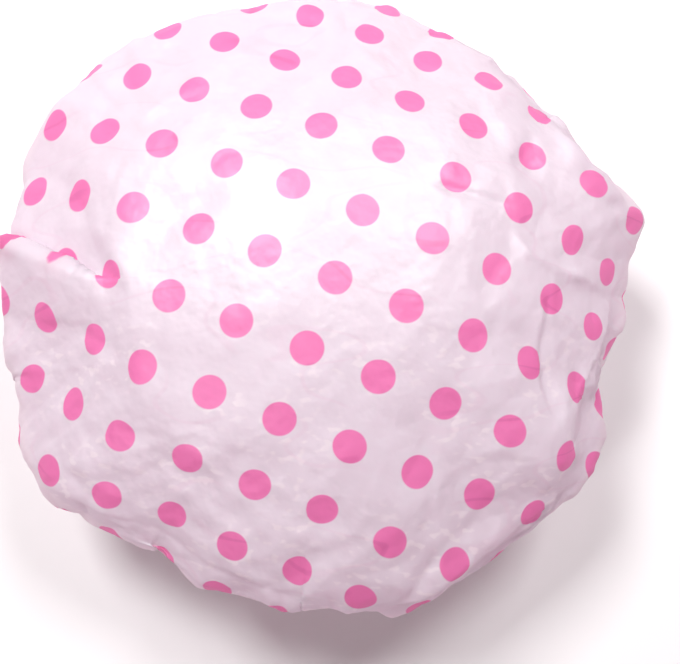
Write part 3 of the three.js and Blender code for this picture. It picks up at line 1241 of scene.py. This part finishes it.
@dataclass
class HemStitches:
    """The seam that closes one sector of the casing: a row of short stitches, laid out by geometry nodes."""

    form: FilmForm
    axis: tuple[float, float]
    number: int
    material: bpy.types.Material
    count: int = 9
    length: float = 0.0021
    thickness: float = 0.0004
    stand: float = 0.0016

    def tree(self) -> bpy.types.NodeTree:
        """Lay out a row of stitches.

        Returns:
            The node tree, with its named inputs.
        """
        tree = bpy.data.node_groups.new("hem_stitches", "GeometryNodeTree")
        face = tree.interface
        face.new_socket("Geometry", in_out="OUTPUT", socket_type="NodeSocketGeometry")
        for name in ("Radius", "Height", "Middle", "Span", "Length", "Thickness"):
            face.new_socket(name, in_out="INPUT", socket_type="NodeSocketFloat")
        face.new_socket("Count", in_out="INPUT", socket_type="NodeSocketInt")
        face.new_socket("Material", in_out="INPUT", socket_type="NodeSocketMaterial")
        given = tree.nodes.new("NodeGroupInput")
        shown = tree.nodes.new("NodeGroupOutput")

        def add(kind: str, links: dict[Any, Any], **settings: Any) -> bpy.types.Node:
            """Add a node.

            Args:
                kind: its type.
                links: values or links for its inputs, by name or place.
                settings: its own options.

            Returns:
                The node.
            """
            node = tree.nodes.new(kind)
            for name, value in settings.items():
                setattr(node, name, value)
            for name, value in links.items():
                if isinstance(value, bpy.types.NodeSocket):
                    tree.links.new(value, node.inputs[name])
                else:
                    node.inputs[name].default_value = value
            return node

        def math_node(operation: str, *values: Any) -> bpy.types.NodeSocket:
            """Add a Math node.

            Args:
                operation: its operation.
                values: its inputs, in order.

            Returns:
                Its output.
            """
            return add("ShaderNodeMath", dict(enumerate(values)), operation=operation).outputs[0]

        place = given.outputs
        number = add("GeometryNodeInputIndex", {}).outputs[0]
        passed = math_node("DIVIDE", math_node("ADD", number, 0.5), place["Count"])
        angle = math_node("MULTIPLY_ADD", math_node("SUBTRACT", passed, 0.5), place["Span"], place["Middle"])
        x = math_node("MULTIPLY", math_node("COSINE", angle), place["Radius"])
        y = math_node("MULTIPLY", math_node("SINE", angle), place["Radius"])
        spot = add("ShaderNodeCombineXYZ", {0: x, 1: y, 2: place["Height"]}).outputs[0]
        points = add("GeometryNodePoints", {"Count": place["Count"], "Position": spot}).outputs[0]
        half = math_node("MULTIPLY", place["Thickness"], 0.5)
        thread = {"Vertices": 8, "Radius": half, "Depth": place["Length"]}
        stitch = add("GeometryNodeMeshCylinder", thread).outputs[0]
        stray = add("FunctionNodeRandomValue", {2: -0.12, 3: 0.12, "Seed": 11}, data_type="FLOAT").outputs[1]
        lean = math_node("ADD", stray, math.pi / 2)
        turn = add("ShaderNodeCombineXYZ", {0: lean, 1: 0.0, 2: angle}).outputs[0]
        row = {"Points": points, "Instance": stitch, "Rotation": turn}
        laid = add("GeometryNodeInstanceOnPoints", row).outputs[0]
        real = add("GeometryNodeRealizeInstances", {"Geometry": laid}).outputs[0]
        dressed = add("GeometryNodeSetMaterial", {"Geometry": real, "Material": place["Material"]}).outputs[0]
        tree.links.new(dressed, shown.inputs["Geometry"])
        return tree

    def build(self, tree: bpy.types.NodeTree) -> bpy.types.Object:
        """Make the sector's stitches as one plain mesh that rides its sector of the rim.

        Args:
            tree: the node tree that lays them out.

        Returns:
            The stitches.
        """
        holder = bpy.data.objects.new("stitch_holder", bpy.data.meshes.new("stitch_holder"))
        bpy.context.scene.collection.objects.link(holder)
        modifier = holder.modifiers.new("stitches", "NODES")
        modifier.node_group = tree
        values = {
            "Radius": self.form.hem_outer + self.stand,
            "Height": self.form.hem_top - 0.0012,
            "Middle": 2 * math.pi * (self.number - 1) / SECTORS,
            "Span": 2 * math.pi / SECTORS,
            "Length": self.length,
            "Thickness": self.thickness,
            "Count": self.count,
            "Material": self.material,
        }
        for item in tree.interface.items_tree:
            if item.in_out == "INPUT":
                modifier[item.identifier] = values[item.name]
        graph = bpy.context.evaluated_depsgraph_get()
        mesh = bpy.data.meshes.new_from_object(holder.evaluated_get(graph))
        bpy.data.objects.remove(holder)
        mesh.transform(Matrix.Translation((*self.axis, 0.0)))
        name = f"hem_stitches_{self.number:02d}"
        mesh.name = name
        piece = bpy.data.objects.new(name, mesh)
        bpy.context.scene.collection.objects.link(piece)
        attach(piece, f"rim_{self.number:02d}")
        return piece


@dataclass
class Rim:
    """The gathered rim: sixteen sectors of film, seam and elastic."""

    form: FilmForm
    axis: tuple[float, float]
    film: bpy.types.Material

    def build(self) -> None:
        """Dress every sector of the rim."""
        elastic = ElasticFinish().material()
        thread = ThreadFinish().material()
        tree = HemStitches(self.form, self.axis, 1, thread).tree()
        for number in range(1, SECTORS + 1):
            HemSector(self.form, self.axis, number, self.film).build()
            HemStitches(self.form, self.axis, number, thread).build(tree)
            for slot in bpy.data.objects[f"elastic_{number:02d}"].material_slots:
                slot.material = elastic


@dataclass
class PhotoCamera:
    """The camera, where the photograph was taken from, measured from the rim's axis."""

    axis: tuple[float, float]
    eye: tuple[float, float, float] = (0.0067, -0.0741, 0.3968)
    tilt: float = math.radians(9.64)
    roll: float = math.radians(0.54)
    focal_pixels: float = 800.0
    frame_width: int = 680
    sensor: float = 36.0

    def build(self) -> None:
        """Make the camera and look through it."""
        data = bpy.data.cameras.new("photo_camera")
        data.sensor_width = self.sensor
        data.lens = self.sensor * self.focal_pixels / self.frame_width
        data.clip_start = 0.01
        camera = bpy.data.objects.new("photo_camera", data)
        camera.location = np.add(self.eye, (*self.axis, 0.0))
        camera.rotation_mode = "ZYX"
        camera.rotation_euler = (self.tilt, 0.0, self.roll)
        bpy.context.scene.collection.objects.link(camera)
        bpy.context.scene.camera = camera


@dataclass
class Studio:
    """The floor, the lamps and the sky.

    Attributes:
        floor_size: the floor's side, in metres.
        lamps: each lamp's place and side in metres, and its power in watts.
        world: how bright the sky is.
        sky: the sky's colour.
    """

    floor_size: float = 6.0
    lamps: dict[Light, tuple[tuple[float, float, float], float, float]] = field(
        default_factory=lambda: {
            Light.KEY: ((-0.33, 0.41, 0.92), 0.30, 8.9),
            Light.FILL: ((0.34, 0.46, 0.90), 0.26, 5.9),
            Light.FRONT: ((-0.55, -0.42, 0.95), 0.12, 1.5),
        }
    )
    world: float = 0.16
    sky: Colour = (1.0, 0.66, 0.76, 1.0)

    def build(self) -> None:
        """Lay the floor, hang the lamps and set the sky."""
        half = self.floor_size / 2
        mesh = bpy.data.meshes.new("floor")
        corners = [(-half, -half, 0), (half, -half, 0), (half, half, 0), (-half, half, 0)]
        mesh.from_pydata(corners, [], [(0, 1, 2, 3)])
        mesh.materials.append(FloorFinish().material())
        floor = bpy.data.objects.new("floor", mesh)
        bpy.context.scene.collection.objects.link(floor)
        for lamp, (place, size, power) in self.lamps.items():
            data = bpy.data.lights.new(lamp.value, "AREA")
            data.size = size
            data.energy = power
            made = bpy.data.objects.new(lamp.value, data)
            made.location = place
            toward = -np.array(place)
            toward[2] += 0.06
            flat = math.hypot(toward[0], toward[1])
            made.rotation_euler = (math.atan2(flat, -toward[2]), 0.0, math.atan2(-toward[0], toward[1]))
            bpy.context.scene.collection.objects.link(made)
        sky = bpy.data.worlds.new("sky")
        sky.use_nodes = True
        sky.node_tree.nodes["Background"].inputs["Color"].default_value = self.sky
        sky.node_tree.nodes["Background"].inputs["Strength"].default_value = self.world
        bpy.context.scene.world = sky


def rim_axis() -> tuple[float, float]:
    """Find the rim's axis from the sectors of the CAD model.

    Returns:
        Where it stands, in x and y.
    """
    boxes = [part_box(f"gather_{number:02d}") for number in range(1, SECTORS + 1)]
    low = np.min([b[0] for b in boxes], axis=0)
    high = np.max([b[1] for b in boxes], axis=0)
    middle = (low + high) / 2
    return float(middle[0]), float(middle[1])


def main() -> None:
    """Build the cap and its studio."""
    bpy.context.scene.view_settings.view_transform = "Standard"
    axis = rim_axis()
    PhotoCamera(axis).build()
    form = FilmForm()
    film = FilmFinish().material()
    cover = FilmCover(form, axis, film).build()
    LOG.info("%s: %d points", cover.name, len(cover.data.vertices))
    Rim(form, axis, film).build()
    Studio().build()


if __name__ == "__main__":
    main()
